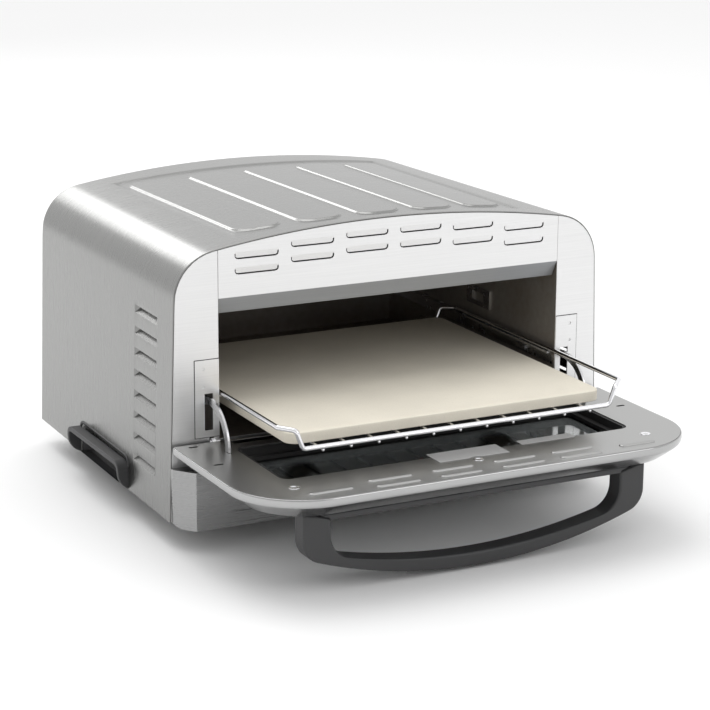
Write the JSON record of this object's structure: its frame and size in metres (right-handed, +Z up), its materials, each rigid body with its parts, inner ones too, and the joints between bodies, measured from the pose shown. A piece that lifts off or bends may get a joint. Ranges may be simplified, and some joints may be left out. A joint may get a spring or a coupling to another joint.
{
  "type": "countertop pizza oven",
  "caption": "Countertop electric pizza oven: low domed steel body, drop-down glazed door, draw-out wire rack carrying a baking stone, side carry grips.",
  "frame": {"origin": "bottom centre of the oven's box with the door open, on the surface that it stands on", "axes": "+X to the oven's right as seen from the front, +Y towards its back, +Z up; the door opens towards -Y"},
  "size_m": [0.5056, 0.601, 0.309],
  "materials": {
    "shell_steel": "vertically brushed stainless sheet",
    "front_steel": "light horizontally brushed stainless sheet",
    "dark_steel": "dark heat-stained oven chamber steel",
    "bright_wire": "bright plated wire and fixings",
    "black_plastic": "satin black moulded plastic",
    "lamp_red": "translucent red lens",
    "door_glass": "tempered door glass, lightly tinted",
    "gasket_rubber": "black heat-resistant seal",
    "foot_rubber": "matt black rubber",
    "insulation": "mineral wool blanket",
    "cordierite": "matt cream baking stone"
  },
  "bodies": {
    "body": {"outer_shell": "shell_steel", "back_panel": "shell_steel", "base_pan": "shell_steel", "feet": "foot_rubber", "front_frame": "front_steel", "vent_panel": "front_steel", "hinge_cover_left": "front_steel", "hinge_cover_right": "front_steel", "control_housing": "shell_steel", "control_panel": "shell_steel", "indicator_lights": "lamp_red", "thermostat_body": "dark_steel", "timer_body": "dark_steel", "cavity_liner": "dark_steel", "cavity_back": "dark_steel", "cavity_lip": "front_steel", "rack_guide_left": "bright_wire", "rack_guide_right": "bright_wire", "upper_element": "dark_steel", "lower_element": "dark_steel", "element_clips": "bright_wire", "insulation_pad": "insulation", "hinge_bracket_left": "shell_steel", "hinge_bracket_right": "shell_steel", "side_handle_left": "black_plastic", "side_handle_right": "black_plastic", "back_screws": "bright_wire", "cord_gland": "black_plastic"},
    "door": {"door_inner_panel": "front_steel", "door_outer_skin": "front_steel", "door_glass_inner": "door_glass", "door_glass_outer": "door_glass", "glass_gasket": "gasket_rubber", "glass_retainer": "front_steel", "door_handle": "black_plastic", "handle_screws": "bright_wire", "door_screws": "bright_wire", "hinge_arm_left": "bright_wire", "hinge_arm_right": "bright_wire", "hinge_pin_left": "bright_wire", "hinge_pin_right": "bright_wire"},
    "rack": {"wire_rack": "bright_wire"},
    "stone": {"pizza_stone": "cordierite"},
    "temperature_control": {"temperature_knob": "black_plastic", "temperature_shaft": "bright_wire"},
    "timer_control": {"timer_knob": "black_plastic", "timer_shaft": "bright_wire"}
  },
  "joints": [
    {"name": "door_hinge", "type": "hinge", "parent": "body", "child": "door", "pos_m": [0, -0.094, 0.1036], "axis": [-1, 0, 0], "range_deg": [0, 90]},
    {"name": "rack_carry", "type": "hinge", "parent": "door", "child": "rack", "pos_m": [0, -0.169, 0.1786], "axis": [-1, 0, 0], "range_deg": [-90, 0]},
    {"name": "stone_lift", "type": "slide", "parent": "rack", "child": "stone", "axis": [0, 0, 1], "range_m": [0, 0.04]},
    {"name": "temperature_turn", "type": "hinge", "parent": "body", "child": "temperature_control", "pos_m": [-0.11, -0.12, 0.0551], "axis": [0, -1, 0], "range_deg": [-270, 0]},
    {"name": "timer_turn", "type": "hinge", "parent": "body", "child": "timer_control", "pos_m": [0.11, -0.12, 0.0551], "axis": [0, -1, 0], "range_deg": [-330, 0]}
  ],
  "couplings": [
    {"joint": "rack_carry", "follows": "door_hinge", "ratio": -1}
  ]
}
